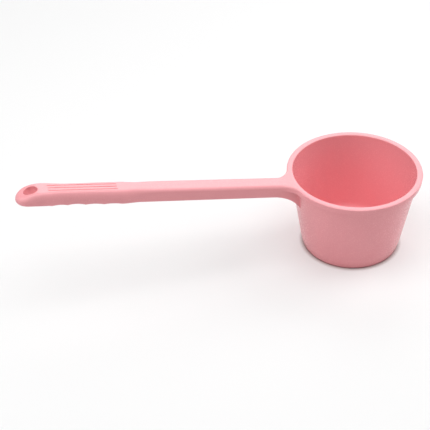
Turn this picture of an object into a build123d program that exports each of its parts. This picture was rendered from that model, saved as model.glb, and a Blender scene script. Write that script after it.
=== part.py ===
from build123d import *
from math import atan2, cos, degrees, radians, sin, sqrt, tan
import os

# A moulded plastic water dipper: a tapered round cup whose lip runs on into a long channel handle.
# Sizes are in mm and degrees. The origin is the centre of the cup's foot, +Z is up, the handle runs along -X.

# Cup
mouth_diameter = 128.0
cup_height = 90.0
base_diameter = 102.4
cup_wall = 2.6
floor_wall = 3.0
base_chamfer = 2.0
inner_chamfer = 6.0
mouth_chamfer = 0.8

# Foot ring under the cup, with the mark of the mould's gate inside it
foot_height = 1.2
foot_width = 4.0
gate_diameter = 5.0
gate_height = 0.4

# Lip: a flange that turns down outside the wall as a skirt
lip_wall = 2.2
lip_gap = 1.8
skirt_wall = 1.6
skirt_height = 8.0
edge_radius = 3.2

# Handle, seen from above
handle_length = 282.4
neck_width = 18.0
flare_radius = 17.0
swell_width = 21.0
waist_width = 19.6
end_width = 23.8
shoulder_length = 20.0
end_flare_length = 28.0

# Handle, seen from the side
handle_rise = 9.15
bend_radius = 60.0
neck_depth = 13.4
end_depth = 14.6
gusset_length = 19.0
gusset_drop = 32.5
droop_angle = 20.0
droop_radius = 50.0
droop_length = 26.0

# Grip: finger scallops below and grooves above, over the same length
scallop_count = 4
scallop_pitch = 17.9
scallop_depth = 1.0
grip_setback = 33.0
groove_count = 3
groove_pitch = 4.2
groove_width = 1.2
groove_depth = 0.7

# Channel inside the handle, open below
handle_wall = 1.8
handle_roof = 2.0
rib_count = 6
rib_wall = 1.6
rib_recess = 3.0

# Hang hole, through a collar that reaches down inside the handle
hole_diameter = 13.2
hole_setback = 16.0
hole_chamfer = 0.8
collar_wall = 1.8
collar_recess = 0.6

# The handle parts from the cup this far outside the lip
seat_step = 0.4

# Worked-out sizes of the cup
mouth_r = mouth_diameter / 2
base_r = base_diameter / 2
rim_r = mouth_r + cup_wall + lip_gap + skirt_wall
seat_r = rim_r + seat_step
wall_taper = (mouth_r + cup_wall - base_r) / cup_height
skirt_z = cup_height - skirt_height
lip_under_z = cup_height - lip_wall
mouth_z = cup_height - mouth_chamfer
floor_z = foot_height + floor_wall
foot_r = base_r - base_chamfer - foot_width
above_z = cup_height + lip_wall


def wall_r(z):
    """The cup wall's outer radius at height z."""
    return base_r + wall_taper * z


# Worked-out places along the handle, as distances from the cup's axis
rise = radians(handle_rise)
tip_s = rim_r + handle_length
hole_s = tip_s - hole_setback
droop_s = tip_s - droop_length
nose_s = tip_s - end_width / 2
grip_end_s = tip_s - grip_setback
grip_start_s = grip_end_s - scallop_count * scallop_pitch
shoulder_s = grip_start_s - shoulder_length
waist_s = nose_s - end_flare_length - end_width / 2
widest_s = nose_s - end_width / 2
bend_s = seat_r + edge_radius / 2
root_s = bend_s + bend_radius * tan(rise / 2)
gusset_s = rim_r + gusset_length
gusset_z = cup_height - gusset_drop
past_tip_s = tip_s + edge_radius
tall = cup_height + handle_length

# The flare's centre stands clear of both the lip and the neck by its radius
flare_y = neck_width / 2 + flare_radius
flare_s = sqrt((rim_r + flare_radius) ** 2 - flare_y**2)
flare_angle = degrees(atan2(flare_y, flare_s))


def top_z(s):
    """The height of the handle's straight top at distance s."""
    return cup_height + (s - root_s) * tan(rise)


def bottom_z(s):
    """The height of the handle's lower edge, which drifts from the top along the handle."""
    depth = neck_depth + (end_depth - neck_depth) * (s - root_s) / (nose_s - root_s)
    return top_z(s) - depth


def top_edges(drop):
    """Draws the top in side view, lowered by drop, from the cup's axis to past the tip.

    It leaves the lip level, bends up to the rise and droops at the tip. Returns the two end points.
    """
    level = cup_height - drop
    start = (0, level)
    Line(start, (bend_s, level))
    bend = CenterArc((bend_s, level + bend_radius), bend_radius, -90, handle_rise)
    droop_centre = (droop_s + droop_radius * sin(rise), top_z(droop_s) - drop - droop_radius * cos(rise))
    droop = CenterArc(droop_centre, droop_radius, 90 + handle_rise, -droop_angle)
    Line(bend @ 1, droop @ 0)
    fall = (droop @ 1) + (droop % 1) * ((past_tip_s - (droop @ 1).X) / (droop % 1).X)
    Line(droop @ 1, fall)
    return start, fall


def plan_edges(inset):
    """Draws the handle as seen from above, drawn in by inset, from the cup's axis round the tip and back."""
    neck_half = neck_width / 2 - inset
    end_half = end_width / 2 - inset
    neck = Line((0, neck_half), (shoulder_s, neck_half))
    grip = Spline(
        neck @ 1,
        (grip_start_s, swell_width / 2 - inset),
        (waist_s, waist_width / 2 - inset),
        (widest_s, end_half),
        tangents=((1, 0), (1, 0)),
    )
    Line(grip @ 1, (nose_s, end_half))
    mirror(about=Plane.XZ)
    CenterArc((nose_s, 0), end_half, -90, 180)
    Line((0, -neck_half), (0, neck_half))


# Sketch planes: x runs out along the handle, y across it or up
plan = Plane(origin=(0, 0, 0), x_dir=(-1, 0, 0), z_dir=(0, 0, 1))
side = Plane(origin=(0, 0, 0), x_dir=(-1, 0, 0), z_dir=(0, 1, 0))

with BuildSketch(plan) as handle_plan:
    with BuildLine():
        plan_edges(0)
    make_face()

with BuildSketch(plan.offset(skirt_z)) as flare_plan:
    with BuildLine():
        flare = CenterArc((flare_s, flare_y), flare_radius, 180 + flare_angle, 90 - flare_angle)
        Line((0, 0), flare @ 0)
        mirror(about=Plane.XZ)
        Line((flare_s, neck_width / 2), (flare_s, -neck_width / 2))
    make_face()

with BuildSketch(side) as handle_side:
    with BuildLine():
        top_start, top_end = top_edges(0)
        lower_end = (top_end.X, bottom_z(top_end.X))
        Line(top_end, lower_end)
        Line(lower_end, (grip_end_s, bottom_z(grip_end_s)))
        for number in range(scallop_count):
            near_s = grip_end_s - number * scallop_pitch
            far_s = near_s - scallop_pitch
            middle_s = near_s - scallop_pitch / 2
            ThreePointArc(
                (near_s, bottom_z(near_s)),
                (middle_s, bottom_z(middle_s) + scallop_depth),
                (far_s, bottom_z(far_s)),
            )
        Line((grip_start_s, bottom_z(grip_start_s)), (gusset_s, bottom_z(gusset_s)))
        gusset = TangentArc(
            (gusset_s, bottom_z(gusset_s)),
            (wall_r(gusset_z) - cup_wall / 2, gusset_z),
            tangent=(root_s - tip_s, bottom_z(root_s) - bottom_z(tip_s)),
        )
        Polyline(gusset @ 1, (0, gusset_z), top_start)
    make_face()

# The lip as a plain disc, with the handle on it and one rounded edge round both
with BuildPart() as upper:
    extrude(handle_plan.sketch, amount=tall)
    extrude(flare_plan.sketch, amount=tall)
    extrude(handle_side.sketch, amount=tall, both=True, mode=Mode.INTERSECT)
    with BuildSketch(Plane.XY.offset(skirt_z)):
        Circle(rim_r)
    extrude(amount=skirt_height)
    upper_faces = upper.faces().filter_by(lambda face: face.normal_at().Z > cos(radians(2 * droop_angle)))
    fillet(upper_faces.edges().filter_by(Axis.Y, reverse=True), edge_radius)

# The room that the cup's wall and lip take up, which the handle sits against
with BuildPart() as cup_space:
    with BuildSketch(Plane.XZ):
        with BuildLine():
            Polyline(
                (0, 0),
                (base_r, 0),
                (wall_r(skirt_z), skirt_z),
                (seat_r, skirt_z),
                (seat_r, above_z),
                (0, above_z),
                close=True,
            )
        make_face()
    revolve(axis=Axis.Z)

# The groove up under the lip, which widens into a pocket under each flare
with BuildPart() as under_lip:
    with BuildSketch(plan.offset(skirt_z)):
        add(flare_plan.sketch_local)
        offset(amount=-skirt_wall, mode=Mode.REPLACE)
        Circle(rim_r - skirt_wall)
        Rectangle(tall, neck_width, mode=Mode.SUBTRACT)
    extrude(amount=lip_under_z - skirt_z)
    with BuildSketch(Plane.XZ):
        with BuildLine():
            Polyline((0, 0), (base_r, 0), (wall_r(above_z), above_z), (0, above_z), close=True)
        make_face()
    revolve(axis=Axis.Z, mode=Mode.SUBTRACT)

# The cup: its body under the lip, hollowed out, with a recess inside the foot
with BuildPart() as cup:
    add(upper.part)
    with BuildSketch(Plane.XY.offset(skirt_z)):
        Circle(seat_r)
    extrude(amount=above_z - skirt_z, mode=Mode.INTERSECT)
    with BuildSketch(Plane.XZ) as body:
        with BuildLine():
            Polyline((0, 0), (base_r, 0), (wall_r(skirt_z), skirt_z), (0, skirt_z), close=True)
        make_face()
        chamfer(body.vertices().sort_by_distance((base_r, 0))[0], base_chamfer)
    revolve(axis=Axis.Z)
    with BuildSketch(Plane.XZ) as hollow:
        with BuildLine():
            Polyline(
                (0, floor_z),
                (wall_r(floor_z) - cup_wall, floor_z),
                (wall_r(mouth_z) - cup_wall, mouth_z),
                (wall_r(mouth_z) - cup_wall + above_z - mouth_z, above_z),
                (0, above_z),
                close=True,
            )
        make_face()
        chamfer(hollow.vertices().sort_by_distance((wall_r(floor_z), floor_z))[0], inner_chamfer)
    revolve(axis=Axis.Z, mode=Mode.SUBTRACT)
    add(under_lip.part, mode=Mode.SUBTRACT)
    with BuildSketch():
        Circle(foot_r)
    extrude(amount=foot_height, mode=Mode.SUBTRACT)
    with BuildSketch(Plane.XY.offset(foot_height)):
        Circle(gate_diameter / 2)
    extrude(amount=-gate_height)

# The hollow of the handle, less its ribs and the collar round the hang hole
with BuildPart() as channel:
    with BuildSketch(plan):
        with BuildLine():
            plan_edges(handle_wall)
        make_face()
    extrude(amount=tall)
    with BuildSketch(side):
        with BuildLine():
            roof_start, roof_end = top_edges(handle_roof)
            Polyline(roof_end, (roof_end.X, 0), (0, 0), roof_start)
        make_face()
    extrude(amount=tall, both=True, mode=Mode.INTERSECT)
    rib_pitch = (hole_s - root_s) / (rib_count + 1)
    for number in range(rib_count):
        rib_s = root_s + rib_pitch * (number + 1)
        with BuildSketch(plan.offset(bottom_z(rib_s) + rib_recess)):
            with Locations((rib_s, 0)):
                Rectangle(rib_wall, end_width)
        extrude(amount=tall, mode=Mode.SUBTRACT)
    with BuildSketch(plan.offset(bottom_z(hole_s) + collar_recess)):
        with Locations((hole_s, 0)):
            Circle(hole_diameter / 2 + collar_wall)
    extrude(amount=tall, mode=Mode.SUBTRACT)

# The handle, from its seat on the lip and the wall out to the tip
with BuildPart() as handle:
    add(upper.part)
    add(cup_space.part, mode=Mode.SUBTRACT)
    add(channel.part, mode=Mode.SUBTRACT)
    add(under_lip.part, mode=Mode.SUBTRACT)
    with BuildSketch(plan):
        with Locations((hole_s, 0)):
            Circle(hole_diameter / 2)
    extrude(amount=tall, mode=Mode.SUBTRACT)
    hole_edges = handle.edges(Select.LAST).filter_by(GeomType.LINE, reverse=True)
    chamfer(hole_edges.sort_by(Axis.Z)[-1], hole_chamfer)
    for number in range(groove_count):
        across = (number - (groove_count - 1) / 2) * groove_pitch
        with BuildSketch(side.offset(across)):
            with BuildLine():
                Polyline(
                    (grip_start_s, top_z(grip_start_s) - groove_depth),
                    (grip_end_s, top_z(grip_end_s) - groove_depth),
                    (grip_end_s, top_z(grip_end_s) + groove_depth),
                    (grip_start_s, top_z(grip_start_s) + groove_depth),
                    close=True,
                )
            make_face()
        extrude(amount=groove_width / 2, both=True, mode=Mode.SUBTRACT)

os.makedirs("parts", exist_ok=True)
cup.part.label = "cup"
export_step(cup.part, "parts/cup.step")
handle.part.label = "handle"
export_step(handle.part, "parts/handle.step")
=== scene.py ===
import logging
import math
from dataclasses import dataclass
from enum import Enum
from typing import Any, Callable

import bmesh
import bpy
import numpy as np
from mathutils import Matrix, Vector


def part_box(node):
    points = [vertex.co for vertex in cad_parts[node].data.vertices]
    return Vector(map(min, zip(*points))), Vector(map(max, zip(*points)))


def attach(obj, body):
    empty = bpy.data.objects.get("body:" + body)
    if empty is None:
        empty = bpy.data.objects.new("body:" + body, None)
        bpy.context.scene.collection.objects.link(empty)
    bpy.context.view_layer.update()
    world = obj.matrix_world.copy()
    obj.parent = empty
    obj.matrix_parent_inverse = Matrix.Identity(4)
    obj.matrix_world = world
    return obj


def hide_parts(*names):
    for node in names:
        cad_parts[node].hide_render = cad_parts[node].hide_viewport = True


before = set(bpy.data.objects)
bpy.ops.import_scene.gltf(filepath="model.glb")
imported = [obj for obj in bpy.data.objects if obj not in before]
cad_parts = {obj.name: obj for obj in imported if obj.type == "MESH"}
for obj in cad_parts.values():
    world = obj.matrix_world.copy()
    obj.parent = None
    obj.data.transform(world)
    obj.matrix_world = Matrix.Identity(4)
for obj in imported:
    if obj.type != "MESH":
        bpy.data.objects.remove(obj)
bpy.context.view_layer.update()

# A water dipper moulded in pink polypropylene: a tapered cup whose lip runs on into a long channel handle.
# Sizes are in millimetres until a mesh is made. The origin is the centre of the foot, +Z is up and the handle
# runs along -X. Along the handle, s is the distance from the cup's axis and y that from the handle's middle.

MM = 0.001
BODY = "root"

# The nose ends this far short of the solid's, where the photograph has it
NOSE_TRIM = 1.6

# Points nearer to each other than this are welded, and faces that meet at more than this angle stay crisp
WELD = 0.002
SHARP_DEG = 38.0

# A row of points this far from a corner, or this share of a short run, keeps the flat beside the corner flat
HOLD = 0.4
HOLD_SHARE = 0.3

# Edges of a grid: its lower rim, its far end and the column on the seat
FIRST_ROW = 0
LAST_ROW = -1
SEAT_COLUMN = np.s_[:, 0]

log = logging.getLogger("dipper")

Number = float | np.ndarray
Pair = tuple[np.ndarray, np.ndarray]
Grid = tuple[np.ndarray, np.ndarray, np.ndarray]
Plan = Callable[[np.ndarray], Pair]


class Side(Enum):
    """The handle's two sides, as the sign of y."""

    FAR = 1.0
    NEAR = -1.0


class LampRole(Enum):
    """What a studio lamp is there for."""

    OVERHEAD = "overhead_bank"
    LEFT = "left_box"
    RIGHT = "right_box"
    BACK = "back_box"
    FRONT = "front_fill"


# ---------------------------------------------------------------- shared tools


def linear_colour(hex_colour: str) -> tuple[float, float, float, float]:
    """Turns an sRGB hex colour into the linear colour that shaders take.

    Args:
        hex_colour: six hex digits with a leading #.

    Returns:
        Linear red, green, blue and an alpha of 1.
    """
    channels = np.array([int(hex_colour[i : i + 2], 16) for i in (1, 3, 5)]) / 255.0
    curved = ((channels + 0.055) / 1.055) ** 2.4
    linear = np.where(channels <= 0.04045, channels / 12.92, curved)
    return (*(float(c) for c in linear), 1.0)


def empty_tree(owner: bpy.types.Material | bpy.types.World) -> bpy.types.NodeTree:
    """Switches a material or a world to nodes.

    Args:
        owner: the material or world.

    Returns:
        Its node tree, cleared.
    """
    owner.use_nodes = True
    owner.node_tree.nodes.clear()
    return owner.node_tree


def add_node(
    tree: bpy.types.NodeTree, kind: str, inputs: dict[str | int, Any] | None = None, **settings: Any
) -> bpy.types.Node:
    """Adds a node with its settings and links.

    Args:
        tree: the node tree it goes into.
        kind: Blender's name for the node type.
        inputs: for each input socket, a constant or the output socket that feeds it.
        settings: the node's own properties.

    Returns:
        The new node.
    """
    node = tree.nodes.new(kind)
    for name, value in settings.items():
        setattr(node, name, value)
    for name, value in (inputs or {}).items():
        if isinstance(value, bpy.types.NodeSocket):
            tree.links.new(value, node.inputs[name])
        else:
            node.inputs[name].default_value = value
    return node


def seen_directly(tree: bpy.types.NodeTree) -> bpy.types.NodeSocket:
    """Adds the test for a ray from the camera, a reflection or a clear body.

    Args:
        tree: the node tree it goes into.

    Returns:
        A socket that is 1 for such a ray and 0 for light that falls on a surface.
    """
    path = add_node(tree, "ShaderNodeLightPath").outputs
    mirror = add_node(
        tree,
        "ShaderNodeMath",
        {0: path["Is Glossy Ray"], 1: path["Is Transmission Ray"]},
        operation="MAXIMUM",
    )
    pair = {0: path["Is Camera Ray"], 1: mirror.outputs[0]}
    return add_node(tree, "ShaderNodeMath", pair, operation="MAXIMUM").outputs[0]


def column(values: tuple[float, ...]) -> np.ndarray:
    """Stands numbers in a column, to be spread over the columns of a grid."""
    return np.array(values)[:, None]


def arc(centre: tuple[float, float], radius: float, first: float, last: float, count: int) -> np.ndarray:
    """Points on an arc: the centre plus the radius times the cosine and sine of an even row of angles.

    Args:
        centre: centre of the circle.
        radius: its radius.
        first: first angle in degrees.
        last: last angle in degrees.
        count: number of points.

    Returns:
        An array of count rows and two columns.
    """
    angle = np.radians(np.linspace(first, last, count))
    return np.column_stack((centre[0] + radius * np.cos(angle), centre[1] + radius * np.sin(angle)))


def run(start: tuple[float, float], end: tuple[float, float], count: int) -> np.ndarray:
    """Points inside a straight run: an even row that starts and stops a hold short of the ends.

    Args:
        start: where the run starts.
        end: where it ends.
        count: number of points between the first and the last.

    Returns:
        An array of count + 2 rows and two columns.
    """
    share = min(HOLD / math.dist(start, end), HOLD_SHARE)
    step = np.linspace(share, 1 - share, count + 2)[:, None]
    return np.array(start) * (1 - step) + np.array(end) * step


def eased(x: Number, knots: tuple[float, ...], values: tuple[float, ...]) -> Number:
    """A curve through knots that is level at each: between two, low + (high - low) * (3 t^2 - 2 t^3).

    Args:
        x: where the curve is wanted.
        knots: places of the knots, rising.
        values: the curve's value at each knot, held before the first and after the last.

    Returns:
        The curve's values, shaped as x.
    """
    place = np.clip(np.searchsorted(knots, x, side="right") - 1, 0, len(knots) - 2)
    low, high = np.take(knots, place), np.take(knots, place + 1)
    t = np.clip((x - low) / (high - low), 0.0, 1.0)
    before, after = np.take(values, place), np.take(values, place + 1)
    return before + (after - before) * t * t * (3 - 2 * t)


def between(first: Grid, second: Grid, edge: int | tuple[slice, int]) -> Grid:
    """The strip from an edge of one grid to the same edge of another."""
    return tuple(np.stack((a[edge], b[edge])) for a, b in zip(first, second))


class Shell:
    """Grids of points that are gathered, welded along their shared edges and made one mesh."""

    def __init__(self) -> None:
        """Starts with no grids."""
        self.points: list[np.ndarray] = []
        self.quads: list[np.ndarray] = []
        self.rubs: list[np.ndarray] = []
        self.total = 0

    def add(self, s: Number, y: Number, z: Number, rub: Number = 0.0, loop: bool = False) -> None:
        """Adds one grid, with a quad between each four neighbouring points.

        Args:
            s: s of each point, in rows and columns. Its x is -s.
            y: y of each point.
            z: z of each point.
            rub: how far handling has polished each point, from 0 to 1.
            loop: whether the last column joins on to the first.
        """
        s, y, z, rub = np.broadcast_arrays(s, y, z, rub)
        index = np.arange(s.size).reshape(s.shape) + self.total
        if loop:
            index = np.column_stack((index, index[:, 0]))
        corners = (index[:-1, :-1], index[:-1, 1:], index[1:, 1:], index[1:, :-1])
        self.points.append(np.stack((-s, y, z), axis=-1).reshape(-1, 3))
        self.quads.append(np.stack(corners, axis=-1).reshape(-1, 4))
        self.rubs.append(rub.reshape(-1))
        self.total += s.size

    def add_capped(self, s: np.ndarray, y: np.ndarray, z: np.ndarray) -> None:
        """Adds a tube of loops, with one more loop at each end, drawn together to that end's middle.

        Args:
            s: s of each point, in rows of loops.
            y: y of each point.
            z: z of each point.
        """
        parts = []
        for part in (s, y, z):
            caps = [np.full_like(part[:1], part[row].mean()) for row in (FIRST_ROW, LAST_ROW)]
            parts.append(np.concatenate((caps[0], part, caps[1])))
        self.add(*parts, loop=True)

    def to_object(self, name: str) -> bpy.types.Object:
        """Makes the gathered grids one object at the origin, welded, facing outwards and shaded smooth.

        Args:
            name: the object's name.

        Returns:
            The new object, linked to the scene.
        """
        mesh = bpy.data.meshes.new(name)
        mesh.from_pydata(np.concatenate(self.points) * MM, [], np.concatenate(self.quads).tolist())
        rub = mesh.attributes.new("rub", "FLOAT", "POINT")
        rub.data.foreach_set("value", np.concatenate(self.rubs).astype(np.float32))
        made = bmesh.new()
        made.from_mesh(mesh)
        bmesh.ops.remove_doubles(made, verts=made.verts[:], dist=WELD * MM)
        bmesh.ops.recalc_face_normals(made, faces=made.faces[:])
        made.to_mesh(mesh)
        made.free()
        mesh.shade_smooth()
        mesh.set_sharp_from_angle(angle=math.radians(SHARP_DEG))
        piece = bpy.data.objects.new(name, mesh)
        bpy.context.scene.collection.objects.link(piece)
        return piece


# ---------------------------------------------------------------- finishes


@dataclass(frozen=True)
class MouldedPolypropylene:
    """Polypropylene, injection moulded against a fine spark-eroded steel.

    It gives the eye one soft pink all through, a satin skin that turns white where a lamp is mirrored in
    it, faint clouds where the melt flowed, a fine skin texture, and edges that hands have polished a little
    paler.
    """

    name: str = "moulded_polypropylene"
    body_hex: str = "#F09FA5"
    cloud_hex: str = "#EE9AA0"
    rubbed_hex: str = "#F5AEB4"
    ior: float = 1.49
    rough_low: float = 0.20
    rough_high: float = 0.30
    cloud_mm: float = 38.0
    skin_mm: float = 0.9
    skin_height_mm: float = 0.012
    skin_low: float = 0.3
    skin_high: float = 0.7
    rub_share: float = 0.45

    def material(self) -> bpy.types.Material:
        """Builds the material.

        The real skin is about 0.1 mm fine. Here it is drawn at skin_mm, as coarse as it needs to be to show.

        Returns:
            The node material.
        """
        made = bpy.data.materials.new(self.name)
        tree = empty_tree(made)
        place = add_node(tree, "ShaderNodeTexCoord").outputs["Object"]
        drift = {"Scale": 1 / (self.cloud_mm * MM), "Detail": 3.0, "Roughness": 0.5, "Distortion": 0.6}
        grain = {"Scale": 1 / (self.skin_mm * MM), "Detail": 2.0, "Roughness": 0.55}
        cloud = add_node(tree, "ShaderNodeTexNoise", {"Vector": place, **drift}).outputs["Fac"]
        skin = add_node(tree, "ShaderNodeTexNoise", {"Vector": place, **grain}).outputs["Fac"]
        pink = add_node(
            tree,
            "ShaderNodeMix",
            {0: cloud, 6: linear_colour(self.body_hex), 7: linear_colour(self.cloud_hex)},
            data_type="RGBA",
        )
        rub = add_node(tree, "ShaderNodeAttribute", attribute_name="rub").outputs["Fac"]
        worn = add_node(tree, "ShaderNodeMath", {0: rub, 1: self.rub_share}, operation="MULTIPLY")
        patchy = add_node(tree, "ShaderNodeMath", {0: worn.outputs[0], 1: cloud}, operation="MULTIPLY")
        colour = add_node(
            tree,
            "ShaderNodeMix",
            {0: patchy.outputs[0], 6: pink.outputs[2], 7: linear_colour(self.rubbed_hex)},
            data_type="RGBA",
        )
        span = {"From Min": self.skin_low, "From Max": self.skin_high}
        satin = {"To Min": self.rough_low, "To Max": self.rough_high}
        rough = add_node(tree, "ShaderNodeMapRange", {"Value": skin, **span, **satin})
        relief = {"Strength": 1.0, "Distance": self.skin_height_mm * MM}
        bump = add_node(tree, "ShaderNodeBump", {"Height": skin, **relief})
        plastic = add_node(
            tree,
            "ShaderNodeBsdfPrincipled",
            {
                "Base Color": colour.outputs[2],
                "Roughness": rough.outputs["Result"],
                "IOR": self.ior,
                "Normal": bump.outputs["Normal"],
            },
        )
        add_node(tree, "ShaderNodeOutputMaterial", {"Surface": plastic.outputs["BSDF"]})
        return made


@dataclass(frozen=True)
class PaperFloor:
    """Matt white paper under the object.

    It gives the eye a plain white that takes the object's soft shadow. Where the plastic closes the paper in,
    a painted contact shadow is drawn: the paper is mixed towards a dark red and its lift to white fades, so a
    thin dark red line shows.
    """

    name: str = "matt_white_paper"
    paper_hex: str = "#F8F8F8"
    lift: float = 0.38
    lift_level: float = 0.87
    # Dark red of the painted contact shadow, mixed into the paper where the plastic closes it in
    painted_contact_shade_hex: str = "#7C2620"
    contact_mm: float = 5.0
    contact_sky: float = 0.2
    contact_samples: int = 6

    def material(self) -> bpy.types.Material:
        """Builds the paper, lifted to white where the camera, a reflection or a clear body sees it.

        The less open sky the paper has within contact_mm, the less it is lifted and the nearer it is to the
        painted contact shadow's dark red, which it has in full at contact_sky. This painted shade is only for
        the camera, a reflection or a clear body.

        Returns:
            The node material.
        """
        made = bpy.data.materials.new(self.name)
        tree = empty_tree(made)
        seen = seen_directly(tree)
        reach = {"Distance": self.contact_mm * MM}
        sky = add_node(tree, "ShaderNodeAmbientOcclusion", reach, samples=self.contact_samples)
        span = {"From Min": 1.0, "From Max": self.contact_sky}
        shut = add_node(tree, "ShaderNodeMapRange", {"Value": sky.outputs["AO"], **span})
        close = add_node(tree, "ShaderNodeMath", {0: shut.outputs["Result"], 1: seen}, operation="MULTIPLY")
        # Painted shade: the paper's colour turns to the contact shadow's dark red where it is closed in
        colour = add_node(
            tree,
            "ShaderNodeMix",
            {0: close.outputs[0], 6: linear_colour(self.paper_hex), 7: linear_colour(self.painted_contact_shade_hex)},
            data_type="RGBA",
        )
        # The lift to white fades inside the painted contact shadow too
        free = add_node(tree, "ShaderNodeMath", {0: seen, 1: close.outputs[0]}, operation="SUBTRACT")
        share = add_node(tree, "ShaderNodeMath", {0: free.outputs[0], 1: self.lift}, operation="MULTIPLY")
        paper = add_node(tree, "ShaderNodeBsdfDiffuse", {"Color": colour.outputs[2]})
        white = add_node(tree, "ShaderNodeEmission", {"Strength": self.lift_level})
        both = add_node(
            tree,
            "ShaderNodeMixShader",
            {0: share.outputs[0], 1: paper.outputs["BSDF"], 2: white.outputs["Emission"]},
        )
        add_node(tree, "ShaderNodeOutputMaterial", {"Surface": both.outputs["Shader"]})
        return made


# ---------------------------------------------------------------- the dipper


@dataclass(frozen=True)
class LipRoot:
    """Where the lip runs on into the handle: the outline that the cup and the handle share.

    Seen from above, a flare arc on each side leaves the lip's circle and meets the handle's side. The handle
    sits against the cup on a circle just outside the lip.
    """

    lip_radius: float
    lip_height: float
    rim_edge: float = 1.1
    seat_edge: float = 2.0
    edge_radius: float = 3.2
    edge_run_deg: float = 24.0
    neck_half: float = 9.0
    flare_radius: float = 17.0
    seat_step: float = 0.4
    band_wall: float = 1.6
    band_height: float = 6.0
    rim_band_height: float = 6.4
    rim_lean: float = 0.5
    lip_wall: float = 2.2

    @property
    def seat_radius(self) -> float:
        """Radius of the circle on which the handle meets the cup."""
        return self.lip_radius + self.seat_step

    @property
    def reach(self) -> float:
        """Distance of the flare's centre from the cup's axis."""
        return self.lip_radius + self.flare_radius

    @property
    def flare_y(self) -> float:
        """Distance of the flare's centre from the handle's middle."""
        return self.neck_half + self.flare_radius

    @property
    def flare_s(self) -> float:
        """Place of the flare's centre along the handle."""
        return math.sqrt(self.reach**2 - self.flare_y**2)

    @property
    def lip_angle(self) -> float:
        """Angle off the handle's line, at the axis, at which the flare leaves the lip, in radians."""
        return math.atan2(self.flare_y, self.flare_s)

    @property
    def band_z(self) -> float:
        """Height of the lower edge of the band that hangs round the lip and the flares."""
        return self.lip_height - self.band_height

    @property
    def under_z(self) -> float:
        """Height of the lip's underside."""
        return self.lip_height - self.lip_wall

    def round_cup(self, angle: np.ndarray, at_seat: float, at_rim: float) -> np.ndarray:
        """A size that is eased from where the handle sits to the rest of the lip.

        Args:
            angle: angles off the handle's line, in radians.
            at_seat: the size where the handle sits.
            at_rim: the size round the rest of the lip.

        Returns:
            The size at each angle.
        """
        start = math.asin(self.flare(0.0, 0.0)[1] / self.seat_radius)
        return eased(np.abs(angle), (start, start + math.radians(self.edge_run_deg)), (at_seat, at_rim))

    def seat_turn(self, depth: Number) -> Number:
        """Where a curve inside the outline meets the seat.

        The seat's circle, the flare's centre and the axis make a triangle with known sides: the cosine rule
        gives the angle at the flare's centre, which is taken from the direction of the axis.

        Args:
            depth: distance of the curve inside the outline.

        Returns:
            The angle round the flare's centre, from the neck, in radians.
        """
        arm = self.flare_radius + depth
        cosine = (self.reach**2 + arm**2 - self.seat_radius**2) / (2 * self.reach * arm)
        return math.pi / 2 - self.lip_angle - np.arccos(np.clip(cosine, -1.0, 1.0))

    def flare(self, depth: Number, along: Number) -> tuple[Number, Number]:
        """Points on the curve depth inside the flare, from the seat to the neck.

        It is a circle round the flare's centre, with the flare's radius plus depth, turned from the seat at
        along 0 to the neck at along 1.

        Args:
            depth: distance inside the outline.
            along: how far along the flare, from 0 to 1.

        Returns:
            s and y of the points.
        """
        turn = self.seat_turn(depth) * (1 - along)
        arm = self.flare_radius + depth
        return self.flare_s - arm * np.sin(turn), self.flare_y - arm * np.cos(turn)

    def lip_point(self, angle: np.ndarray, depth: Number) -> np.ndarray:
        """Radius from the cup's axis at which a curve depth inside the outline is met.

        Away from the handle it is the lip's radius less depth. In the flares it is the near crossing of the
        line at that angle with the circle round the flare's centre, and it stops at the seat.

        Args:
            angle: angle off the handle's line, in radians.
            depth: distance inside the outline.

        Returns:
            The radius.
        """
        off = self.lip_angle - np.abs(angle)
        inside = (self.flare_radius + depth) ** 2 - (self.reach * np.sin(off)) ** 2
        met = self.reach * np.cos(off) - np.sqrt(np.clip(inside, 0.0, None))
        met = np.where(inside > 0, np.minimum(met, self.seat_radius), self.seat_radius)
        return np.where(off > 0, met, self.lip_radius - depth)

    def seat_depth(self, angle: np.ndarray) -> np.ndarray:
        """How deep inside the outline the cup's share of the lip ends.

        It is 0 on the lip. Where the handle sits, it is the distance from the flare's centre to the seat, by
        the cosine rule, less the flare's radius.

        Args:
            angle: angles off the handle's line, in radians.

        Returns:
            The depth at each angle.
        """
        off = self.lip_angle - np.abs(angle)
        squared = self.seat_radius**2 + self.reach**2 - 2 * self.seat_radius * self.reach * np.cos(off)
        return np.where(off > 0, np.clip(np.sqrt(squared) - self.flare_radius, 0.0, self.seat_edge), 0.0)


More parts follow.
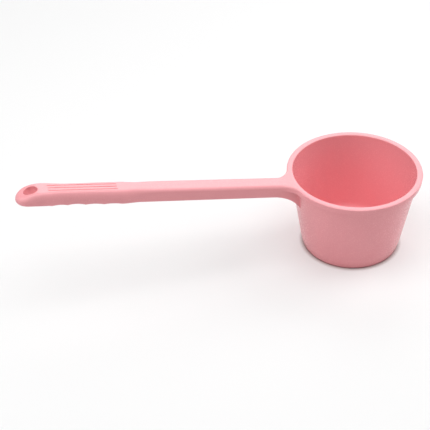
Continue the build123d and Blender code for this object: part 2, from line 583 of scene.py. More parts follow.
@dataclass
class Cup:
    """The cup, one surface turned round the axis: floor, tapered wall, lip with its band, and foot ring."""

    root: LipRoot
    base_radius: float = 50.6
    mouth_radius: float = 64.0
    wall: float = 2.6
    floor_z: float = 4.2
    inner_corner: float = 10.0
    mouth_edge: float = 1.0
    flat_shares: tuple[float, ...] = (0.35, 0.85)
    base_edge: float = 1.0
    heel_lift: float = 0.3
    heel_draw: float = 1.4
    heel_rise: float = 14.0
    heel_inset: float = 3.6
    heel_hold: float = 0.5
    foot_width: float = 3.4
    foot_height: float = 1.2
    foot_edge: float = 0.3
    gate_radius: float = 2.5
    gate_height: float = 0.4
    gate_hold: float = 0.3
    band_edge: float = 0.45
    fold_room: tuple[float, float] = (0.3, 0.4)
    back_share: float = 0.6
    brim_rub: float = 0.7
    heel_rub: float = 0.5

    # Points along each stretch of the profile, and round the cup
    floor_steps: int = 6
    corner_steps: int = 14
    inner_steps: int = 10
    brim_steps: int = 7
    lip_steps: int = 12
    outer_steps: int = 24
    heel_steps: int = 7
    toe_steps: int = 5
    recess_steps: int = 4
    flare_steps: int = 8
    turns: int = 300
    block_gap: float = 0.0004
    angle_digits: int = 7

    @property
    def taper(self) -> float:
        """How much the wall's radius grows for each millimetre of height."""
        return (self.mouth_radius + self.wall - self.base_radius) / self.root.lip_height

    def outer(self, z: Number) -> Number:
        """Radius of the wall's outside at height z."""
        return self.base_radius + self.taper * z

    def inner(self, z: Number) -> Number:
        """Radius of the wall's inside at height z."""
        return self.outer(z) - self.wall

    def inside(self) -> np.ndarray:
        """Profile from the middle of the floor up the inside to the lip's flat.

        The floor's flat runs into the wall by an arc that touches both, and the wall into the lip by a small
        one.

        Returns:
            Radius and height of each point.
        """
        lean = math.atan(self.taper)
        corner_z = self.floor_z + self.inner_corner
        corner = (self.inner(corner_z) - self.inner_corner / math.cos(lean), corner_z)
        edge_z = self.root.lip_height - self.mouth_edge
        edge = (self.inner(edge_z) + self.mouth_edge / math.cos(lean), edge_z)
        bend = arc(corner, self.inner_corner, -90, -math.degrees(lean), self.corner_steps)
        brim = arc(edge, self.mouth_edge, 180 - math.degrees(lean), 90, self.brim_steps)
        floor = run((0.0, self.floor_z), tuple(bend[0]), self.floor_steps)
        side = run(tuple(bend[-1]), tuple(brim[0]), self.inner_steps)
        return np.concatenate(([[0.0, self.floor_z]], floor, bend, side, brim))

    def outside(self) -> np.ndarray:
        """Profile from the top of the groove under the lip down the outside to the middle of the foot.

        The wall is drawn in towards the ground, by heel_draw times (1 - z / heel_rise) squared, and turns
        under by a small arc. The foot's ring is set in from there, and it stands round a shallow recess with
        the gate's mark in its middle.

        Returns:
            Radius and height of each point.
        """
        lean = math.atan(self.taper)
        heel_z = self.heel_lift + self.base_edge
        heel = (self.outer(heel_z) - self.base_edge / math.cos(lean), heel_z)
        bend = arc(heel, self.base_edge, -math.degrees(lean), -90, self.heel_steps)
        top = (self.outer(self.root.under_z), self.root.under_z)
        skin = np.concatenate((run(top, tuple(bend[0]), self.outer_steps), bend))
        skin[:, 0] -= self.heel_draw * np.clip(1.0 - skin[:, 1] / self.heel_rise, 0.0, 1.0) ** 2
        ring_out = self.base_radius - self.heel_inset
        ring_in = ring_out - self.foot_width
        edge = self.foot_edge
        under = [[ring_out + self.heel_hold, self.heel_lift], [ring_out, self.heel_lift]]
        outer_toe = arc((ring_out - edge, edge), edge, 0, -90, self.toe_steps)
        inner_toe = arc((ring_in + edge, edge), edge, -90, -180, self.toe_steps)
        roof, gate, gate_z = self.foot_height, self.gate_radius, self.foot_height - self.gate_height
        step = [[ring_in, roof], [ring_in - HOLD, roof]]
        recess = run(tuple(step[1]), (gate, roof), self.recess_steps)
        mark = [[gate, roof], [gate, gate_z], [gate - self.gate_hold, gate_z], [0.0, gate_z]]
        return np.concatenate((skin, under, outer_toe, inner_toe, step, recess, mark))

    def block_angles(self) -> tuple[float, float]:
        """Where the band under the lip changes beside the handle.

        Returns:
            Angles at which the solid seat ends and at which the pocket under a flare ends, in radians.
        """
        pocket_y = self.root.flare(self.root.band_wall, 0.0)[1]
        solid = math.asin(self.root.neck_half / self.root.seat_radius)
        return solid, math.asin(pocket_y / self.root.seat_radius)

    def angles(self, seat_y: np.ndarray) -> np.ndarray:
        """Angles off the handle's line at which the profile stands.

        Args:
            seat_y: y of the handle's points on the seat, so that the two surfaces share them.

        Returns:
            Rising angles in radians, once round.
        """
        lip_angle = self.root.lip_angle
        seat = np.arcsin(seat_y / self.root.seat_radius)
        blocks = np.array(self.block_angles())
        flare = np.linspace(np.abs(seat).max(), lip_angle, self.flare_steps)
        half = np.concatenate((blocks - self.block_gap, blocks + self.block_gap, flare))
        rest = np.linspace(lip_angle, 2 * math.pi - lip_angle, self.turns)[1:-1]
        rest = np.where(rest > math.pi, rest - 2 * math.pi, rest)
        return np.unique(np.round(np.concatenate((seat, half, -half, rest)), self.angle_digits))

    def lip(self, angle: np.ndarray) -> Pair:
        """The lip from the edge of its flat, over the rounded edge and down the band to the groove's top.

        The rounded edge is a quarter circle carried along the outline of lip and flares. Where the handle
        sits, it stops at the seat. Below it the band leans in a little, folds under and goes up its own back.
        It is solid across the handle and open to the pockets in the flares.

        Args:
            angle: angles off the handle's line, in radians.

        Returns:
            Radius and height, in rows down the profile and columns round the cup.
        """
        root = self.root
        rounding = root.round_cup(angle, root.seat_edge, root.rim_edge)
        lean = root.round_cup(angle, 0.0, root.rim_lean)
        band_low = root.lip_height - root.round_cup(angle, root.band_height, root.rim_band_height)
        end = np.arccos(1 - root.seat_depth(angle) / rounding)
        bend = math.pi / 2 + (end - math.pi / 2) * np.linspace(0, 1, self.lip_steps)[:, None]
        edge_r = root.lip_point(angle, rounding * (1 - np.cos(bend)))
        edge_z = root.lip_height - rounding * (1 - np.sin(bend))
        solid, pocket = self.block_angles()
        off = np.abs(angle)
        band_z = np.where((off > solid) & (off < pocket), root.under_z, band_low)
        roof_z = np.where(off < solid, root.band_z, root.under_z)
        out_r, out_z = edge_r[-1], edge_z[-1]
        back_r = np.minimum(root.lip_point(angle, root.band_wall), out_r)
        back_r = np.where(off < solid, root.lip_radius - root.band_wall, back_r)
        soft = self.band_edge * np.clip((out_r - back_r) / root.band_wall, 0.0, 1.0)
        fold = (1 - math.sqrt(0.5)) * soft
        fall, rise = out_z - band_z - soft, roof_z - band_z
        near = np.minimum(HOLD, HOLD_SHARE * fall) / fall
        low_r, foot_r, wall_r = out_r - lean, back_r - lean, self.outer(roof_z)
        rows = (
            *((out_r - share * lean, out_z - share * fall) for share in (near, 0.5, 1 - near)),
            (low_r, band_z + soft),
            (low_r - fold, band_z + fold),
            (low_r - soft, band_z),
            (foot_r + soft, band_z),
            (foot_r + fold, band_z + np.minimum(fold, self.fold_room[0] * rise)),
            (foot_r, band_z + np.minimum(soft, self.fold_room[1] * rise)),
            (back_r - (1 - self.back_share) * lean, band_z + self.back_share * rise),
            (back_r, roof_z),
            (0.5 * (back_r + wall_r), roof_z),
            (wall_r, roof_z),
        )
        band_r, band_h = (np.stack(part) for part in zip(*rows))
        return np.concatenate((edge_r, band_r)), np.concatenate((edge_z, band_h))

    def build(self, seat_y: np.ndarray) -> bpy.types.Object:
        """Turns the profile round the axis: s = r cos(angle), y = r sin(angle), with the lip's own r at each.

        Args:
            seat_y: y of the handle's points on the seat.

        Returns:
            The cup, at the origin.
        """
        angle = self.angles(seat_y)
        inside, outside = self.inside(), self.outside()
        lip_r, lip_z = self.lip(angle)
        flat_r = inside[-1, 0] + (lip_r[0] - inside[-1, 0]) * column(self.flat_shares)
        flat_z = np.full_like(flat_r, self.root.lip_height)
        around = np.ones_like(angle)
        radius = np.concatenate((inside[:, :1] * around, flat_r, lip_r, outside[:, :1] * around))
        height = np.concatenate((inside[:, 1:] * around, flat_z, lip_z, outside[:, 1:] * around))
        rub = np.zeros_like(radius)
        first = len(inside) + len(flat_r)
        rub[first : first + self.lip_steps] = np.sin(np.linspace(0, math.pi, self.lip_steps))[:, None]
        rub[len(inside) - self.brim_steps : len(inside)] = self.brim_rub
        rub[height < self.heel_lift + self.base_edge] = self.heel_rub
        shell = Shell()
        shell.add(radius * np.cos(angle), radius * np.sin(angle), height, rub, loop=True)
        return shell.to_object("cup_shell")


@dataclass
class Handle:
    """The handle: a rising channel, open below, with flared root, grip, drooping tip, hole, webs and ribs."""

    root: LipRoot
    tip_s: float
    rise_deg: float = 9.15
    bend_radius: float = 60.0
    bend_step: float = 1.6
    droop_deg: float = 26.5
    droop_radius: float = 34.0
    droop_length: float = 27.6
    neck_depth: float = 13.4
    end_depth: float = 14.6
    wall: float = 1.8
    roof: float = 2.0
    roof_corner: float = 0.8
    grip_edge: float = 4.4
    grip_fall: float = 8.0
    nose_edge: float = 5.4
    nose_bend: float = 0.72
    tip_lift: float = 1.2
    tip_lift_run: tuple[float, float] = (-3.0, 1.0)
    lower_edge: float = 0.5
    inner_edge: float = 0.3
    lower_rub: float = 0.6
    swell_half: float = 10.9
    waist_half: float = 10.2
    end_half: float = 12.2
    grip_setback: float = 31.4
    join_step: float = 2.6
    scallop_pitch: float = 17.9
    scallop_depths: tuple[float, ...] = (0.8, 0.9, 1.2, 1.2)
    shoulder_length: float = 20.0
    end_flare_length: float = 28.0
    groove_pitch: float = 4.2
    groove_count: int = 3
    groove_half: float = 0.65
    groove_depth: float = 1.3
    groove_end: float = 1.6
    groove_stop: float = 1.6
    hole_reach: tuple[float, float] = (7.0, 6.0)
    hole_setback: float = 15.2
    hole_edge: float = 0.6
    hole_rub: float = 0.6
    collar_wall: float = 1.8
    collar_recess: float = 0.6
    gusset_length: float = 19.0
    gusset_drop: float = 32.5
    gusset_sink: float = 1.3
    web_sink: float = 1.2
    web_foot: float = 0.6
    web_head: float = 0.4
    web_reach: float = 3.0
    web_cut: float = 0.4
    web_inset: float = 0.02
    web_lap: float = 0.04

    # The cup's wall as the solids have it, which the gusset was drawn to: radius at z 0, and growth with z
    wall_base: float = 51.2
    wall_taper: float = 0.1711

    # Each rib from its free edge up: share of its height, share of its wall, step in from the side, step up
    rib_count: int = 6
    rib_wall: float = 1.6
    rib_recess: float = 3.0
    rib_stop: float = 0.9
    rib_rows: tuple[tuple[float, float, float, float], ...] = (
        (0.0, 0.3, 1.5, 0.0),
        (0.04, 0.62, 1.5, 0.0),
        (0.12, 0.75, 1.5, 0.0),
        (0.6, 0.88, 1.5, 0.0),
        (1.0, 1.0, 1.5, 0.0),
        (1.0, 1.0, 2.1, 0.85),
        (1.0, 1.0, 2.8, 1.15),
    )

    # Points up a side, along the handle, across each groove, round the nose and round the hole
    low_steps: int = 4
    side_shares: tuple[float, ...] = (0.06, 0.3, 0.6, 0.94)
    top_steps: int = 11
    flare_steps: int = 26
    flare_crowding: float = 1.15
    flare_gap: float = 0.5
    neck_steps: int = 48
    shoulder_steps: int = 18
    scallop_steps: int = 26
    groove_marks: tuple[float, ...] = (0.35, 0.8, 1.2, 1.6)
    tail_steps: int = 5
    place_digits: int = 5
    across_reach: float = 1.25
    across_steps: int = 11
    nose_side_steps: int = 15
    nose_turn_steps: int = 41
    hole_steps: int = 6
    ring_shares: tuple[float, ...] = (0.0, 0.08, 0.3, 0.55, 0.8, 0.95, 1.0)
    bore_shares: tuple[float, ...] = (0.0, 0.06, 0.35, 0.7, 0.97, 1.0)
    web_steps: int = 40

    # Places along the handle

    @property
    def rise(self) -> float:
        """Slope of the handle's straight top, in radians."""
        return math.radians(self.rise_deg)

    @property
    def bend_s(self) -> float:
        """Where the top starts to bend up."""
        return self.root.seat_radius + self.bend_step

    @property
    def root_s(self) -> float:
        """Where the straight top, carried on, would meet the lip's level."""
        return self.bend_s + self.bend_radius * math.tan(self.rise / 2)

    @property
    def nose_s(self) -> float:
        """Centre of the round nose."""
        return self.tip_s - self.end_half

    @property
    def hole_s(self) -> float:
        """Centre of the hang hole."""
        return self.tip_s - self.hole_setback

    @property
    def grip_end_s(self) -> float:
        """End of the grip on the tip's side."""
        return self.tip_s - self.grip_setback

    @property
    def grip_start_s(self) -> float:
        """End of the grip on the cup's side."""
        return self.grip_end_s - len(self.scallop_depths) * self.scallop_pitch

    @property
    def join_s(self) -> float:
        """Where the long run ends and the tip's surfaces start."""
        return self.grip_end_s + self.join_step

    @property
    def gusset_s(self) -> float:
        """Where the lower edge starts to curve down to the cup."""
        return self.root.lip_radius + self.gusset_length

    # Curves along the handle

    def half_width(self, s: Number) -> Number:
        """Half the handle's width: level at the neck, the swell, the waist and the end, eased between them.

        Args:
            s: places along the handle.

        Returns:
            The half width at each place.
        """
        shoulder = self.grip_start_s - self.shoulder_length
        widest = self.nose_s - self.end_half
        knots = (shoulder, self.grip_start_s, widest - self.end_flare_length, widest)
        return eased(s, knots, (self.root.neck_half, self.swell_half, self.waist_half, self.end_half))

    def edge(self, s: np.ndarray, grip: float) -> np.ndarray:
        """Reach of the rounded top edge, from the neck's radius to the grip's own reach in or down."""
        ends = (self.grip_start_s - 2 * self.shoulder_length, self.grip_start_s)
        return eased(s, ends, (self.root.edge_radius, grip))

    def straight(self, s: Number) -> Number:
        """Height of the straight top at s."""
        return self.root.lip_height + (s - self.root_s) * math.tan(self.rise)

    def top(self, s: np.ndarray) -> np.ndarray:
        """Height of the top: level at the lip, a circular bend up, the straight rise and a circular droop.

        Args:
            s: places along the handle.

        Returns:
            The height at each place.
        """
        bend_run = self.bend_radius * math.sin(self.rise)
        out = np.clip(s - self.bend_s, 0.0, bend_run)
        bent = self.root.lip_height + self.bend_radius - np.sqrt(self.bend_radius**2 - out**2)
        droop_s = self.tip_s - self.droop_length
        middle_s = droop_s + self.droop_radius * math.sin(self.rise)
        middle_z = self.straight(droop_s) - self.droop_radius * math.cos(self.rise)
        fall = math.radians(self.droop_deg) - self.rise
        fall_s = middle_s + self.droop_radius * math.sin(fall)
        past = np.clip(s, droop_s, fall_s) - middle_s
        drooped = middle_z + np.sqrt(self.droop_radius**2 - past**2)
        falling = middle_z + self.droop_radius * math.cos(fall) - (s - fall_s) * math.tan(fall)
        stretches = [s < self.bend_s + bend_run, s < droop_s, s < fall_s]
        return np.select(stretches, [bent, self.straight(s), drooped], default=falling)

    def lower_line(self, s: Number) -> Number:
        """Height of the lower edge before scallops: the straight top less a depth that grows to the nose."""
        share = (s - self.root_s) / (self.nose_s - self.root_s)
        return self.straight(s) - self.neck_depth - (self.end_depth - self.neck_depth) * share

    def lower(self, s: np.ndarray) -> np.ndarray:
        """Height of the lower edge.

        Each scallop rises by 4 t (1 - t) times its depth, the tip is lifted a little, and by the cup the edge
        follows the gusset.

        Args:
            s: places along the handle.

        Returns:
            The height at each place.
        """
        turn = (s - self.grip_start_s) / self.scallop_pitch
        number = np.clip(np.floor(turn), 0, len(self.scallop_depths) - 1).astype(int)
        t = np.clip(turn - number, 0.0, 1.0)
        line = self.lower_line(s) + 4 * t * (1 - t) * np.take(self.scallop_depths, number)
        knots = (*(self.grip_end_s + step for step in self.tip_lift_run), self.nose_s, self.tip_s)
        line = line + eased(s, knots, (0.0, self.tip_lift, self.tip_lift, 0.0))
        return np.where(s < self.gusset_s, self.gusset(s), line)

    def gusset_circle(self) -> tuple[float, float, float]:
        """Circle of the gusset's lower edge.

        It leaves the handle's lower edge smoothly and reaches the foot of the gusset in the cup's wall: its
        centre is square to the lower edge, and its radius is the chord squared over twice the chord's share
        in that direction.

        Returns:
            s and z of the centre, and the radius.
        """
        start = np.array([self.gusset_s, self.lower_line(self.gusset_s)])
        foot_z = self.root.lip_height - self.gusset_drop
        foot = np.array([self.wall_base + self.wall_taper * foot_z - self.gusset_sink, foot_z])
        slope = self.lower_line(self.gusset_s + 1.0) - start[1]
        down = np.array([slope, -1.0]) / math.hypot(slope, 1.0)
        chord = foot - start
        radius = chord @ chord / (2 * chord @ down)
        middle = start + radius * down
        return float(middle[0]), float(middle[1]), float(radius)

    def gusset(self, s: np.ndarray) -> np.ndarray:
        """Height of the gusset's lower edge, the upper half of its circle."""
        middle_s, middle_z, radius = self.gusset_circle()
        return middle_z + np.sqrt(np.clip(radius**2 - (s - middle_s) ** 2, 0.0, None))

    def groove_places(self) -> np.ndarray:
        """y of each groove's middle."""
        return (np.arange(self.groove_count) - (self.groove_count - 1) / 2) * self.groove_pitch

    def groove(self, s: np.ndarray, y: np.ndarray) -> np.ndarray:
        """Depth of the grip's grooves: a raised cosine across each, eased in and out at the ends.

        Args:
            s: places along the handle.
            y: places across it.

        Returns:
            The depth at each point.
        """
        start = self.grip_start_s + self.groove_stop
        ends = (start, start + self.groove_end, self.grip_end_s - self.groove_end, self.grip_end_s)
        off = (y - self.groove_places()[:, None, None]) / self.groove_half
        across = (0.5 * (1 + np.cos(math.pi * np.clip(off, -1.0, 1.0)))).sum(axis=0)
        return self.groove_depth * eased(s, ends, (0.0, 1.0, 1.0, 0.0)) * across

    # Surfaces

    def row_table(self) -> np.ndarray:
        """How each row of a side stands: its share of the height, and its steps in and up at the two bends.

        The lower bend is a quarter circle from below to the side, the upper one from the side to the top: a
        step in is 1 - cos and a step up is sin of the bend's angle.

        Returns:
            Rows from the lower edge to the top, with the columns share, lower in, lower up, upper in and
            upper up.
        """
        low = np.radians(np.linspace(-90, 0, self.low_steps))
        high = np.radians(np.linspace(0, 90, self.top_steps))
        first_high = self.low_steps + len(self.side_shares)
        table = np.zeros((first_high + self.top_steps, 5))
        table[: self.low_steps, 1:3] = np.column_stack((1 - np.cos(low), np.sin(low)))
        table[self.low_steps : first_high, 0] = self.side_shares
        table[first_high:, 0] = 1.0
        table[first_high:, 3:] = np.column_stack((1 - np.cos(high), np.sin(high)))
        return table

    def side_rows(
        self, plan: Plan, low: np.ndarray, depth: float, soft: float, bend: Pair, fall: float
    ) -> Grid:
        """One side of the channel, from its lower edge up and over the bend at its top.

        Args:
            plan: gives s and y of points a depth inside the outline, for rows by stations.
            low: height of the lower edge at each station.
            depth: distance of the side inside the outline, 0 for the outside.
            soft: radius of the lower bend, turned inwards on the outside and outwards on the inside.
            bend: reach of the upper bend, in and down, at each station: a quarter of an ellipse.
            fall: how far below the top the surface ends.

        Returns:
            s, y and z, in rows up the side and columns along the handle.
        """
        share, low_in, low_up, high_in, high_up = self.row_table().T[:, :, None]
        turn = soft if depth == 0 else -soft
        s, y = plan(depth + turn * low_in + bend[0] * high_in)
        start = low + soft
        end = self.top(s) - fall - bend[1]
        return s, y, start * (1 - share) + end * share + soft * low_up + bend[1] * high_up

    def skins(self, plan: Plan, low: np.ndarray, bend: Pair) -> tuple[Grid, Grid, np.ndarray]:
        """The outside and the inside of a stretch of the channel.

        Args:
            plan: gives s and y of points a depth inside the outline.
            low: height of the lower edge at each station.
            bend: reach of the outside's upper bend, in and down, at each station.

        Returns:
            The outside, the inside, and how far each row of the outside is polished: most in the middle of
            the upper bend, and some of it round the lower edge.
        """
        corner = np.full(low.shape, self.roof_corner)
        outside = self.side_rows(plan, low, 0.0, self.lower_edge, bend, 0.0)
        inside = self.side_rows(plan, low, self.wall, self.inner_edge, (corner, corner), self.roof)
        table = self.row_table()
        polish = np.sin(2 * np.arcsin(np.clip(table[:, 4], 0, 1))) + (table[:, 1] > 0) * self.lower_rub
        return outside, inside, polish[:, None]

    def stations(self) -> Pair:
        """Stations of the long run, from the seat to the tip.

        They are closer together towards the flare's end at the neck, and at the ends of the grooves.

        Returns:
            Shares along the flare, and s beyond it.
        """
        flare = 1 - (1 - np.linspace(0, 1, self.flare_steps)) ** self.flare_crowding
        shoulder_s = self.grip_start_s - self.shoulder_length
        close = np.array(self.groove_marks)
        places = (
            np.linspace(self.root.flare_s + self.flare_gap, shoulder_s, self.neck_steps),
            np.linspace(shoulder_s, self.grip_start_s, self.shoulder_steps),
            np.linspace(
                self.grip_start_s, self.grip_end_s, len(self.scallop_depths) * self.scallop_steps + 1
            ),
            self.grip_start_s + self.groove_stop + close,
            self.grip_end_s - close,
            np.linspace(self.grip_end_s, self.join_s, self.tail_steps),
        )
        return flare, np.unique(np.round(np.concatenate(places), self.place_digits))

    def long_plan(self, depth: np.ndarray) -> Pair:
        """Outline of the long run, drawn in by depth: the flare's circles, then the half width less depth.

        Args:
            depth: distance inside the outline, in rows, by one column or one for each station.

        Returns:
            s and y.
        """
        flare, body = self.stations()
        depth = np.broadcast_to(depth, (depth.shape[0], len(flare) + len(body)))
        root_s, root_y = self.root.flare(depth[:, : len(flare)], flare)
        body_y = self.half_width(body) - depth[:, len(flare) :]
        body_s = np.broadcast_to(body, body_y.shape)
        return np.concatenate((root_s, body_s), axis=1), np.concatenate((root_y, body_y), axis=1)

    def nose_plan(self, depth: np.ndarray) -> Pair:
        """Outline of the tip, drawn in by depth: along one side, round the nose's circle and back.

        Args:
            depth: distance inside the outline, in rows.

        Returns:
            s and y.
        """
        side = np.linspace(self.join_s, self.nose_s, self.nose_side_steps)
        square = np.full(side.shape, math.pi / 2)
        turn = np.radians(np.linspace(90, -90, self.nose_turn_steps))[1:-1]
        foot = np.concatenate((side, np.full(turn.shape, self.nose_s), side[::-1]))
        angle = np.concatenate((square, turn, -square))
        length = self.half_width(foot) - depth
        return foot + length * np.cos(angle), length * np.sin(angle)

    def across(self, edge_y: np.ndarray) -> np.ndarray:
        """y of the points across the top between its two bends: close together at each groove.

        Args:
            edge_y: y of the bend's inner edge at each station.

        Returns:
            y, in rows across from one bend to the other and columns along the handle.
        """
        marks = self.groove_half * np.linspace(-self.across_reach, self.across_reach, self.across_steps)
        inner = np.sort((self.groove_places()[:, None] + marks).reshape(-1))[::-1]
        return np.concatenate((edge_y[None], inner[:, None] * np.ones_like(edge_y), -edge_y[None]))

    def long_top(self, skin: Grid, fall: float) -> Grid:
        """The long run's top between its two bends.

        Each station runs straight across, except over the flare, where it bows like the seat's circle, less
        and less towards the neck. The height is the top's less the grooves.

        Args:
            skin: the side that the top joins, which ends at the bend's inner edge.
            fall: how far below the top the surface is, 0 for the outside.

        Returns:
            s, y and z, in rows across and columns along the handle.
        """
        edge_s, edge_y = skin[0][-1], skin[1][-1]
        flare, body = self.stations()
        y = self.across(edge_y)
        left = np.concatenate((1 - flare, np.zeros_like(body)))
        seat = self.root.seat_radius
        s = edge_s + left * (np.sqrt(seat**2 - y**2) - np.sqrt(seat**2 - edge_y**2))
        cut = self.groove(s, y) if fall == 0 else 0.0
        return s, y, self.top(s) - fall - cut

    def long_run(self, shell: Shell) -> np.ndarray:
        """Adds the long run: outside, inside, lower rims and the face on the seat.

        Args:
            shell: where the grids go.

        Returns:
            y of the outside's points on the seat, for the cup to share.
        """
        flare, body = self.stations()
        low = np.concatenate((np.full(flare.shape, self.root.band_z), self.lower(body)))
        swell = eased(flare, (0.0, 1.0), (self.root.seat_edge, self.root.edge_radius))
        reaches = (self.grip_edge, self.grip_fall)
        bend = tuple(np.concatenate((swell, self.edge(body, reach))) for reach in reaches)
        out, inn, polish = self.skins(self.long_plan, low, bend)
        rim, face = between(out, inn, FIRST_ROW), between(out, inn, SEAT_COLUMN)
        for side in Side:
            for (s, y, z), rub in ((out, polish), (inn, 0.0), (rim, 0.0), (face, 0.0)):
                shell.add(s, side.value * y, z, rub)
        out_top, inn_top = self.long_top(out, 0.0), self.long_top(inn, self.roof)
        for grid in (out_top, inn_top, between(out_top, inn_top, SEAT_COLUMN)):
            shell.add(*grid)
        return np.concatenate((out[1][:, 0], -out[1][:, 0], out_top[1][:, 0]))

    def ring_fill(self, skin: Grid, wider: float, fall: float) -> Grid:
        """The tip's top between its bend and an ellipse round the hang hole.

        The outer loop is the bend's inner edge, closed straight across where the long run ends. Each point on
        it is drawn straight towards the hole's centre until it meets the ellipse. The height is the top's at
        that place.

        Args:
            skin: the side that the top joins, which ends at the bend's inner edge.
            wider: how much wider than the hole the ellipse is, on each side.
            fall: how far below the top the surface is.

        Returns:
            s, y and z, in rows from the loop to the ellipse and columns round the hole.
        """
        edge_s, edge_y = skin[0][-1], skin[1][-1]
        cross = self.across(edge_y[:1])[1:-1, 0][::-1]
        out_s = np.append(edge_s, np.full(cross.shape, self.join_s)) - self.hole_s
        out_y = np.append(edge_y, cross)
        shrink = 1 / np.hypot(out_s / (self.hole_reach[0] + wider), out_y / (self.hole_reach[1] + wider))
        scale = 1 + (shrink - 1) * column(self.ring_shares)
        s = self.hole_s + out_s * scale
        return s, out_y * scale, self.top(s) - fall

    def hole_brim(self, lid: Grid) -> Grid:
        """The rounded edge of the hang hole: a quarter circle, carried round the hole's ellipse.

        Args:
            lid: the top round the hole, which ends where the edge starts to turn down.

        Returns:
            s, y and z, in rows from the top into the hole and columns round it.
        """
        rim_s, rim_y = (reach + self.hole_edge for reach in self.hole_reach)
        way = np.arctan2(lid[1][-1] / rim_y, (lid[0][-1] - self.hole_s) / rim_s)
        turn = np.radians(np.linspace(0, 90, self.hole_steps))[:, None]
        inwards = self.hole_edge * np.sin(turn)
        s = self.hole_s + (rim_s - inwards) * np.cos(way)
        return s, (rim_y - inwards) * np.sin(way), self.top(s) - self.hole_edge * (1 - np.cos(turn))

    def collar_side(self, start: Grid) -> Grid:
        """A side of the collar round the hole, upright from the last row of a grid down to the collar's foot.

        Args:
            start: the grid that it hangs from.

        Returns:
            s, y and z, in rows down the collar and columns round it.
        """
        s, y, z = (part[-1] for part in start)
        foot_z = self.lower_line(self.hole_s) + self.collar_recess
        share = column(self.bore_shares)
        return s + 0 * share, y + 0 * share, z * (1 - share) + foot_z * share

    def tip(self, shell: Shell) -> None:
        """Adds the tip: its round outside and inside, the top round the hang hole, the bore and its collar.

        Args:
            shell: where the grids go.
        """
        foot_s = self.nose_plan(np.zeros((1, 1)))[0][0]
        low = self.lower(foot_s)
        front = np.clip((foot_s - self.nose_s) / self.end_half, 0.0, 1.0)
        room = self.nose_bend * (self.top(foot_s) - low)
        reach_in = self.grip_edge + (self.nose_edge - self.grip_edge) * front**2
        out, inn, polish = self.skins(self.nose_plan, low, (reach_in, np.minimum(self.grip_fall, room)))
        for grid, rub in ((out, polish), (inn, 0.0), (between(out, inn, FIRST_ROW), 0.0)):
            shell.add(*grid, rub)
        lid = self.ring_fill(out, self.hole_edge, 0.0)
        brim = self.hole_brim(lid)
        under = self.ring_fill(inn, self.collar_wall, self.roof)
        bore, collar = self.collar_side(brim), self.collar_side(under)
        shell.add(*lid, loop=True)
        shell.add(*brim, self.hole_rub, loop=True)
        for grid in (under, bore, collar, between(bore, collar, LAST_ROW)):
            shell.add(*grid, loop=True)

    def web(self, shell: Shell, side: Side) -> None:
        """Adds one web of the gusset: a plate in line with the handle's side, from the cup to the channel.

        Each level is a strip from inside the cup's wall to the gusset's lower edge or, above that, into the
        channel's own side, with its two outer corners taken off.

        Args:
            shell: where the grid goes.
            side: which side of the handle.
        """
        middle_s, middle_z, radius = self.gusset_circle()
        foot_z = self.root.lip_height - self.gusset_drop + self.web_foot
        z = np.linspace(foot_z, self.root.under_z - self.web_head, self.web_steps)[:, None]
        near = self.wall_base + self.wall_taper * z - self.web_sink
        level = np.clip(z - middle_z, 0.0, radius)
        far = np.minimum(middle_s - np.sqrt(radius**2 - level**2), self.root.flare_s + self.web_reach)
        cut = self.web_cut * np.minimum(1.0, far - near)
        out_y = self.root.neck_half - self.web_inset - cut * np.array([0, 0, 1])
        in_y = self.root.neck_half - self.wall + self.web_lap + cut * np.array([1, 0, 0])
        s = np.concatenate((near, far - cut, far, far, far - cut, near), axis=1)
        shell.add_capped(s, side.value * np.concatenate((out_y, in_y), axis=1), z + 0 * s)

    def ribs(self, shell: Shell) -> None:
        """Adds the cross ribs inside the channel: plates from side to side, thinner towards their free edge.

        Each row is a loop round the plate. The last rows step in as they go up, to stay inside the rounded
        edge.

        Args:
            shell: where the grids go.
        """
        share, thick, inset, above = np.array(self.rib_rows).T[:, :, None]
        pitch = (self.hole_s - self.root_s) / (self.rib_count + 1)
        places = self.root_s + pitch * np.arange(1, self.rib_count + 1)
        lows = self.lower_line(places) + self.rib_recess
        highs = self.top(places) - self.roof - self.rib_stop
        for place, half, low, high in zip(places, self.half_width(places), lows, highs):
            s = place + thick * self.rib_wall / 2 * np.array([1, 1, -1, -1])
            y = (half - inset) * np.array([1, -1, -1, 1])
            shell.add_capped(s, y, low + (high - low) * share + above + 0 * s)

    def build(self) -> tuple[bpy.types.Object, np.ndarray]:
        """Builds the whole handle.

        Returns:
            The handle, at the origin, and y of its points on the seat.
        """
        shell = Shell()
        seat_y = self.long_run(shell)
        self.tip(shell)
        for side in Side:
            self.web(shell, side)
        self.ribs(shell)
        return shell.to_object("handle_shell"), seat_y


# ---------------------------------------------------------------- the studio


@dataclass(frozen=True)
class Lamp:
    """A soft box: a flat rectangular lamp that faces the point it is aimed at."""

    role: LampRole
    place: tuple[float, float, float]
    aim: tuple[float, float, float]
    width: float
    length: float
    radiance: float

    def build(self) -> bpy.types.Object:
        """Builds the lamp.

        Returns:
            The lamp, linked to the scene.
        """
        data = bpy.data.lights.new(self.role.value, "AREA")
        data.shape = "RECTANGLE"
        data.size = self.width * MM
        data.size_y = self.length * MM
        data.energy = self.radiance * math.pi * data.size * data.size_y
        lamp = bpy.data.objects.new(self.role.value, data)
        lamp.location = Vector(self.place) * MM
        lamp.rotation_euler = (Vector(self.aim) - Vector(self.place)).to_track_quat("-Z", "Y").to_euler()
        lamp.visible_camera = False
        bpy.context.scene.collection.objects.link(lamp)
        return lamp


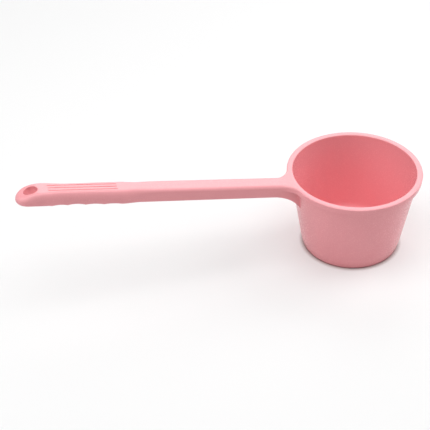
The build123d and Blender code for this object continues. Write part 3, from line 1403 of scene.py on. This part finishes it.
@dataclass
class Studio:
    """White paper, soft boxes and an even white surround."""

    floor_half: float = 4000.0
    floor_lines: int = 5
    room_hex: str = "#FFFFFF"
    surround: float = 0.108
    mirrored: float = 1.0
    lamps: tuple[Lamp, ...] = (
        Lamp(LampRole.OVERHEAD, (-150.0, -170.0, 1300.0), (-120.0, 0.0, 60.0), 1300.0, 900.0, 2.65),
        Lamp(LampRole.LEFT, (-1150.0, 150.0, 850.0), (-140.0, 0.0, 60.0), 900.0, 900.0, 2.3),
        Lamp(LampRole.RIGHT, (1000.0, 150.0, 850.0), (-60.0, 0.0, 60.0), 900.0, 900.0, 3.2),
        Lamp(LampRole.BACK, (250.0, 1150.0, 950.0), (-140.0, 0.0, 100.0), 1100.0, 900.0, 2.1),
        Lamp(LampRole.FRONT, (-350.0, -1000.0, 1350.0), (-100.0, 0.0, 80.0), 1200.0, 700.0, 1.0),
    )

    def floor(self) -> bpy.types.Object:
        """Builds the paper, a flat grid at z 0, with its material.

        Returns:
            The floor.
        """
        line = np.linspace(-self.floor_half, self.floor_half, self.floor_lines)
        shell = Shell()
        shell.add(-line[:, None], line, 0.0)
        paper = shell.to_object("paper_floor")
        paper.data.materials.append(PaperFloor().material())
        return paper

    def world(self) -> None:
        """Lights the room evenly at the surround's level, and shows the mirrored level past the paper.

        The mirrored level is what the camera, a reflection or a clear body sees there, which is white.
        """
        world = bpy.data.worlds.new("white_room")
        tree = empty_tree(world)
        levels = {"To Min": self.surround, "To Max": self.mirrored}
        strength = add_node(tree, "ShaderNodeMapRange", {"Value": seen_directly(tree), **levels})
        white = linear_colour(self.room_hex)
        room = add_node(
            tree, "ShaderNodeBackground", {"Color": white, "Strength": strength.outputs["Result"]}
        )
        add_node(tree, "ShaderNodeOutputWorld", {"Surface": room.outputs["Background"]})
        bpy.context.scene.world = world

    def build(self) -> None:
        """Builds the floor, the surround and the lamps."""
        self.floor()
        self.world()
        for lamp in self.lamps:
            lamp.build()
            log.info("lamp %s", lamp.role.value)


@dataclass(frozen=True)
class PhotoCamera:
    """A camera at the photograph's viewing angle, fitted to the lip, the mouth, the base and the handle."""

    azimuth_deg: float = -16.233
    elevation_deg: float = 36.997
    roll_deg: float = 0.455
    distance: float = 1719.85
    right_shift: float = -143.34
    up_shift: float = 24.42
    focal_pixels: float = 1620.0
    frame_pixels: float = 430.0
    sensor: float = 36.0
    sight: float = 20000.0

    def build(self) -> bpy.types.Object:
        """Builds the camera and makes it the scene's own.

        Returns:
            The camera.
        """
        turn, lift = math.radians(self.azimuth_deg), math.radians(self.elevation_deg)
        right = Vector((math.cos(turn), math.sin(turn), 0.0))
        level = math.cos(lift)
        forward = Vector((-math.sin(turn) * level, math.cos(turn) * level, -math.sin(lift)))
        up = right.cross(forward)
        place = right * self.right_shift + up * self.up_shift - forward * self.distance
        data = bpy.data.cameras.new("photo_camera")
        data.sensor_width = self.sensor
        data.lens = self.focal_pixels / self.frame_pixels * self.sensor
        data.clip_end = self.sight * MM
        camera = bpy.data.objects.new("photo_camera", data)
        roll = math.radians(self.roll_deg)
        across = right * math.cos(roll) + up * math.sin(roll)
        turned = Matrix((across, across.cross(forward), -forward)).transposed()
        camera.matrix_world = Matrix.Translation(place * MM) @ turned.to_4x4()
        bpy.context.scene.collection.objects.link(camera)
        bpy.context.scene.camera = camera
        return camera


def dress(piece: bpy.types.Object, node: str, finish: bpy.types.Material) -> None:
    """Gives a piece its finish and lets it stand for its CAD node.

    Args:
        piece: the new piece.
        node: the CAD node that it replaces.
        finish: its material.
    """
    piece.data.materials.append(finish)
    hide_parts(node)
    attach(piece, BODY)
    log.info("%s: %d points, %d faces", piece.name, len(piece.data.vertices), len(piece.data.polygons))


def main() -> None:
    """Builds the studio, the camera, the handle and the cup."""
    logging.basicConfig(level=logging.INFO, format="%(name)s: %(message)s")
    bpy.context.scene.view_settings.view_transform = "Standard"
    PhotoCamera().build()
    Studio().build()
    cup_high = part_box("cup")[1] / MM
    handle_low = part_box("handle")[0] / MM
    root = LipRoot(lip_radius=cup_high.y, lip_height=cup_high.z)
    plastic = MouldedPolypropylene().material()
    handle, seat_y = Handle(root, tip_s=-handle_low.x - NOSE_TRIM).build()
    dress(handle, "handle", plastic)
    cup = Cup(root).build(seat_y)
    dress(cup, "cup", plastic)


if __name__ == "__main__":
    main()
